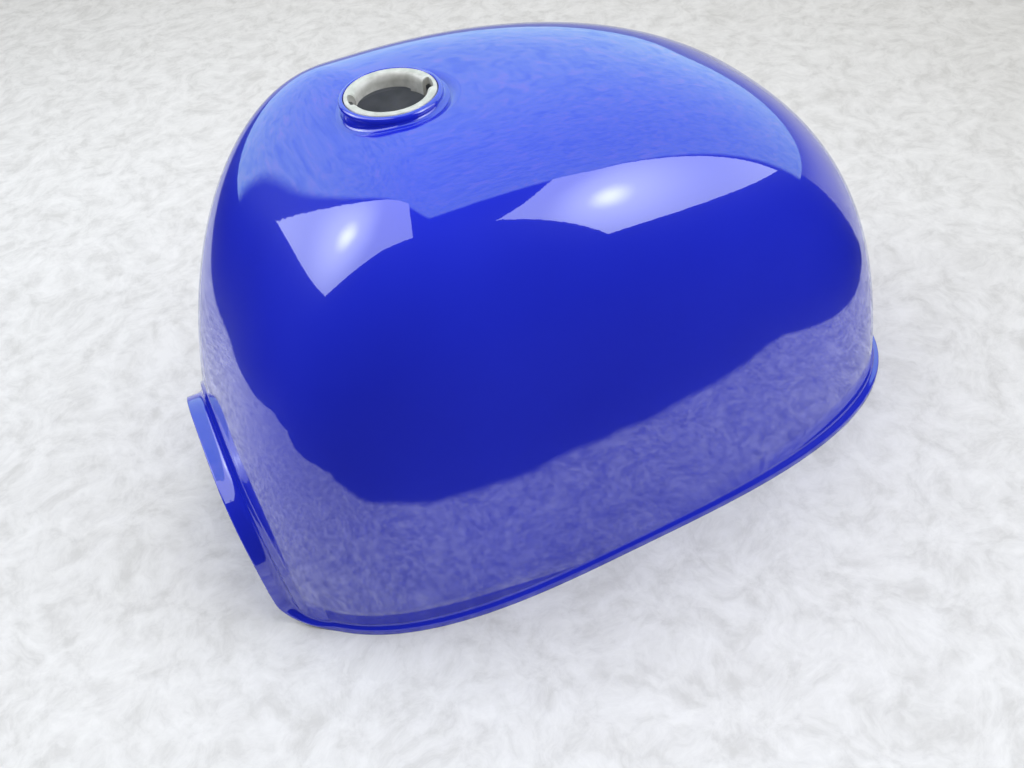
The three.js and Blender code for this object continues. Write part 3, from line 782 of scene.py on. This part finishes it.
for piece, source in (
        (build_pan(), "bottom_pan"), (build_tap(), "tap_boss"), (build_nut(), "rear_nut"),
        (copied("mount_channel_left", "front_mount_left", 0.4), "front_mount_left"),
        (copied("mount_channel_right", "front_mount_right", 0.4), "front_mount_right"),
        (copied("bridge_strap", "rear_bridge", 0.5), "rear_bridge")):
    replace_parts(piece, source)

# ---------------------------------------------------------------- floor
def chain(nt, operation, a, b):
    """Maths node of two values, each a number or a socket."""
    n = node(nt, "ShaderNodeMath", operation=operation)
    for socket, value in zip(n.inputs, (a, b)):
        if isinstance(value, (int, float)):
            socket.default_value = value
        else:
            nt.links.new(value, socket)
    return n.outputs[0]


def step(nt, value, lo, hi):
    """Smooth step between two values."""
    r = node(nt, "ShaderNodeMapRange", interpolation_type="SMOOTHSTEP")
    r.inputs["From Min"].default_value = lo
    r.inputs["From Max"].default_value = hi
    nt.links.new(value, r.inputs["Value"])
    return r.outputs["Result"]


def floor_material():
    m, nt, b = new_material("pale_floor")
    geo = node(nt, "ShaderNodeNewGeometry")
    sep = node(nt, "ShaderNodeSeparateXYZ")
    nt.links.new(geo.outputs["Position"], sep.inputs["Vector"])
    warp = node(nt, "ShaderNodeTexNoise", Scale=16.0, Detail=4.0)
    nt.links.new(geo.outputs["Position"], warp.inputs["Vector"])
    add = node(nt, "ShaderNodeVectorMath", operation="MULTIPLY_ADD")
    add.inputs[1].default_value = (0.06, 0.06, 0.06)
    nt.links.new(warp.outputs["Color"], add.inputs[0])
    nt.links.new(geo.outputs["Position"], add.inputs[2])
    pile = node(nt, "ShaderNodeTexNoise", Scale=70.0, Detail=9.0, Roughness=0.68)
    nt.links.new(add.outputs["Vector"], pile.inputs["Vector"])
    col = ramp(nt, pile.outputs["Fac"],
               [(0.34, (0.62, 0.60, 0.56)), (0.5, (0.72, 0.70, 0.66)), (0.64, (0.78, 0.76, 0.72))])
    # Painted reflection: only glossy rays get this stronger light-and-dark pile colour, so the floor mirrored
    # in the paint shows painted light and dark patches.
    fine = node(nt, "ShaderNodeTexNoise", Scale=190.0, Detail=8.0, Roughness=0.7)
    nt.links.new(add.outputs["Vector"], fine.inputs["Vector"])
    painted_reflection_patch = chain(nt, "ADD", chain(nt, "MULTIPLY", fine.outputs["Fac"], 0.6),
                  chain(nt, "MULTIPLY", pile.outputs["Fac"], 0.4))
    low = ramp(nt, painted_reflection_patch,
               [(0.40, (0.36, 0.355, 0.34)), (0.5, (0.63, 0.62, 0.59)), (0.60, (0.93, 0.915, 0.88))])
    lp = node(nt, "ShaderNodeLightPath")
    # Glossy rays get the painted reflection colour, the camera gets the pile's own colour.
    seen = node(nt, "ShaderNodeMix", data_type="RGBA")
    nt.links.new(lp.outputs["Is Glossy Ray"], seen.inputs["Factor"])
    nt.links.new(col, seen.inputs["A"])
    nt.links.new(low, seen.inputs["B"])
    nt.links.new(seen.outputs["Result"], b.inputs["Base Color"])
    b.inputs["Roughness"].default_value = 0.9
    b.inputs["Specular IOR Level"].default_value = 0.1
    bump = node(nt, "ShaderNodeBump", Strength=0.12, Distance=0.001)
    nt.links.new(pile.outputs["Fac"], bump.inputs["Height"])
    nt.links.new(bump.outputs["Normal"], b.inputs["Normal"])
    # Painted reflection: for glossy rays only, the floor past a drawn edge turns into a dark emission, so the
    # paint mirrors a dark room beyond the cloth's end; the camera still sees the floor there.
    wobble = chain(nt, "MULTIPLY", chain(nt, "SUBTRACT", warp.outputs["Fac"], 0.5), 0.02)
    x, y = sep.outputs["X"], chain(nt, "ADD", sep.outputs["Y"], wobble)
    rear = chain(nt, "MULTIPLY", step(nt, x, 0.17, 0.33), 0.17)
    left = chain(nt, "MULTIPLY", step(nt, chain(nt, "MULTIPLY", x, -1.0), 0.30, 0.62), 0.22)
    edge = chain(nt, "ADD", chain(nt, "ADD", rear, left), PAINTED_REFLECTION_EDGE)
    front = chain(nt, "SUBTRACT", y, edge)
    inward = chain(nt, "MULTIPLY", step(nt, y, 0.12, 0.24), 0.21)
    side = chain(nt, "SUBTRACT", chain(nt, "SUBTRACT", x, PAINTED_REFLECTION_SIDE), inward)
    cloth = chain(nt, "MULTIPLY", step(nt, front, -0.005, 0.005), step(nt, side, -0.005, 0.005))
    painted_room_reflection = chain(nt, "MULTIPLY", chain(nt, "SUBTRACT", 1.0, cloth), lp.outputs["Is Glossy Ray"])
    # Painted dark reflection: a dim emission that only glossy rays see past the edge.
    dark = node(nt, "ShaderNodeEmission")
    dark.inputs["Color"].default_value = (0.010, 0.012, 0.018, 1)
    dark.inputs["Strength"].default_value = 0.5
    mix = node(nt, "ShaderNodeMixShader")
    nt.links.new(painted_room_reflection, mix.inputs["Fac"])
    nt.links.new(b.outputs["BSDF"], mix.inputs[1])
    nt.links.new(dark.outputs["Emission"], mix.inputs[2])
    nt.links.new(mix.outputs["Shader"], nt.nodes["Material Output"].inputs["Surface"])
    return m


# Edge of the painted dark reflection on the floor, in metres.
PAINTED_REFLECTION_EDGE, PAINTED_REFLECTION_SIDE = -0.183, -0.55
mesh = bpy.data.meshes.new("floor")
mesh.from_pydata([(-4, -4, 0), (4, -4, 0), (4, 4, 0), (-4, 4, 0)], [], [(0, 1, 2, 3)])
mesh.materials.append(floor_material())
floor = bpy.data.objects.new("floor", mesh)
bpy.context.collection.objects.link(floor)

# ---------------------------------------------------------------- camera
PITCH, YAW, ROLL = 0.797, 0.377, -0.12
DIST, TX, TY = 476.4, -9.65, -40.4
back = Vector((-math.sin(YAW) * math.cos(PITCH), -math.cos(YAW) * math.cos(PITCH), math.sin(PITCH)))
right = Vector((math.cos(YAW), -math.sin(YAW), 0))
up = back.cross(right)
turned_right = right * math.cos(ROLL) + up * math.sin(ROLL)
turned_up = up * math.cos(ROLL) - right * math.sin(ROLL)
place = Vector((PLAN_X, 0, 84)) + back * DIST + right * TX + up * TY
cam = bpy.data.cameras.new("camera")
cam.lens = 950 / 1024 * 36
cam.sensor_width = 36
cam.clip_start = 0.01
cam_ob = bpy.data.objects.new("camera", cam)
turn = Matrix((turned_right, turned_up, back)).transposed().to_4x4()
cam_ob.matrix_world = Matrix.Translation(place * MM) @ turn
bpy.context.collection.objects.link(cam_ob)
scene = bpy.context.scene
scene.camera = cam_ob
scene.view_settings.view_transform = "Standard"

# ---------------------------------------------------------------- light
def softbox(name, corners, hot, edge_level, hot_level, spread):
    """Lit cloth panel with a brighter spot where its lamp is."""
    m = bpy.data.materials.new(name)
    m.use_nodes = True
    nt = m.node_tree
    nt.nodes.remove(nt.nodes["Principled BSDF"])
    geo = node(nt, "ShaderNodeNewGeometry")
    far = node(nt, "ShaderNodeVectorMath", operation="DISTANCE")
    far.inputs[1].default_value = hot
    nt.links.new(geo.outputs["Position"], far.inputs[0])
    halo = chain(nt, "SUBTRACT", 1.0, step(nt, far.outputs["Value"], 0.0, spread))
    core = chain(nt, "SUBTRACT", 1.0, step(nt, far.outputs["Value"], 0.0, spread * 0.3))
    level = chain(nt, "ADD", chain(nt, "MULTIPLY", halo, (hot_level - edge_level) * 0.35),
                  chain(nt, "MULTIPLY", core, (hot_level - edge_level) * 0.65))
    glow = node(nt, "ShaderNodeEmission")
    glow.inputs["Color"].default_value = (0.80, 0.87, 1.0, 1)
    nt.links.new(chain(nt, "ADD", level, edge_level), glow.inputs["Strength"])
    nt.links.new(glow.outputs["Emission"], nt.nodes["Material Output"].inputs["Surface"])
    panel = bpy.data.meshes.new(name)
    panel.from_pydata(corners, [], [(0, 1, 2, 3)])
    panel.materials.append(m)
    ob = bpy.data.objects.new(name, panel)
    ob.visible_camera = False
    bpy.context.collection.objects.link(ob)
    return ob


def panel_corners(centre, half_x, half_y):
    c, hx, hy = Vector(centre), Vector(half_x), Vector(half_y)
    return [c - hx - hy, c + hx - hy, c + hx + hy, c - hx + hy]


LEFT_BOX = (-0.423, 0.134, 0.789), (0.244, -0.323, 0.443), (-0.038, -0.284, 0.067)
RIGHT_BOX = (0.451, -0.485, 0.770), (0.056, 0.278, -0.093), (-0.014, 0.099, -0.475)


def on_panel(box, u, v):
    c, hx, hy = (Vector(p) for p in box)
    return c + hx * u + hy * v


softbox("softbox_left", panel_corners(*LEFT_BOX), on_panel(LEFT_BOX, -0.45, -0.15), 2.5, 9.5, 0.34)
softbox("softbox_right", panel_corners(*RIGHT_BOX), on_panel(RIGHT_BOX, -0.08, 0.33), 2.9, 10.5, 0.42)


def lamp(name, where, at, size, power):
    """Soft light from above that the paint doesn't mirror."""
    light = bpy.data.lights.new(name, "AREA")
    light.shape = "SQUARE"
    light.size = size
    light.energy = power
    ob = bpy.data.objects.new(name, light)
    ob.location = where
    ob.rotation_euler = (Vector(at) - Vector(where)).to_track_quat("-Z", "Y").to_euler()
    ob.visible_camera = False
    ob.visible_glossy = False
    bpy.context.collection.objects.link(ob)
    return ob


lamp("ceiling", (0.0, -0.1, 1.6), (0, 0, 0.1), 1.8, 20)

# A little light inside the tank, as comes through the neck of the real one.
glow = bpy.data.lights.new("inside", "POINT")
glow.energy = 0.16
glow.shadow_soft_size = 0.02
glow_ob = bpy.data.objects.new("inside", glow)
glow_ob.location = Vector((NECK_X + 30, 0, 130)) * MM
glow_ob.visible_camera = glow_ob.visible_glossy = False
bpy.context.collection.objects.link(glow_ob)

# Painted reflection: glossy rays see a pale streaked backdrop behind the tank and a dark room towards the
# camera, at 1.28 times the strength, while camera and diffuse rays see an even grey.
BACKDROP_SIDE, BACKDROP_TOP = Vector((0.866, 0.5, 0.0)), Vector((0.04, 0.97, 0.23)).normalized()
world = bpy.data.worlds.new("world")
world.use_nodes = True
scene.world = world
wn = world.node_tree
bg = wn.nodes["Background"]
lp = node(wn, "ShaderNodeLightPath")
tc = node(wn, "ShaderNodeTexCoord")
masks = []
for side in (BACKDROP_SIDE, BACKDROP_TOP):
    dot = node(wn, "ShaderNodeVectorMath", operation="DOT_PRODUCT")
    dot.inputs[1].default_value = side
    wn.links.new(tc.outputs["Generated"], dot.inputs[0])
    masks.append(step(wn, dot.outputs["Value"], -0.02, 0.02))
streak = node(wn, "ShaderNodeTexNoise", Scale=22.0, Detail=9.0, Roughness=0.68, Distortion=1.2)
wn.links.new(tc.outputs["Generated"], streak.inputs["Vector"])
# Painted reflection: a streaked pale backdrop cloth that only glossy rays see.
cloth = ramp(wn, streak.outputs["Fac"],
             [(0.36, (0.44, 0.72, 0.95)), (0.52, (0.66, 0.98, 1.0)), (0.66, (0.95, 1.0, 1.0))])
painted_room_reflection = node(wn, "ShaderNodeMix", data_type="RGBA")
painted_room_reflection.inputs["A"].default_value = (0.008, 0.010, 0.018, 1)
wn.links.new(chain(wn, "MULTIPLY", masks[0], masks[1]), painted_room_reflection.inputs["Factor"])
wn.links.new(cloth, painted_room_reflection.inputs["B"])
grey_and_painted_reflection = node(wn, "ShaderNodeMix", data_type="RGBA")
grey_and_painted_reflection.inputs["A"].default_value = (0.36, 0.37, 0.38, 1)
wn.links.new(lp.outputs["Is Glossy Ray"], grey_and_painted_reflection.inputs["Factor"])
wn.links.new(painted_room_reflection.outputs["Result"], grey_and_painted_reflection.inputs["B"])
wn.links.new(grey_and_painted_reflection.outputs["Result"], bg.inputs["Color"])
# Painted reflection: glossy rays see the world brighter.
painted_reflection_lift = chain(wn, "MULTIPLY", lp.outputs["Is Glossy Ray"], 0.28)
wn.links.new(chain(wn, "ADD", 1.0, painted_reflection_lift), bg.inputs["Strength"])
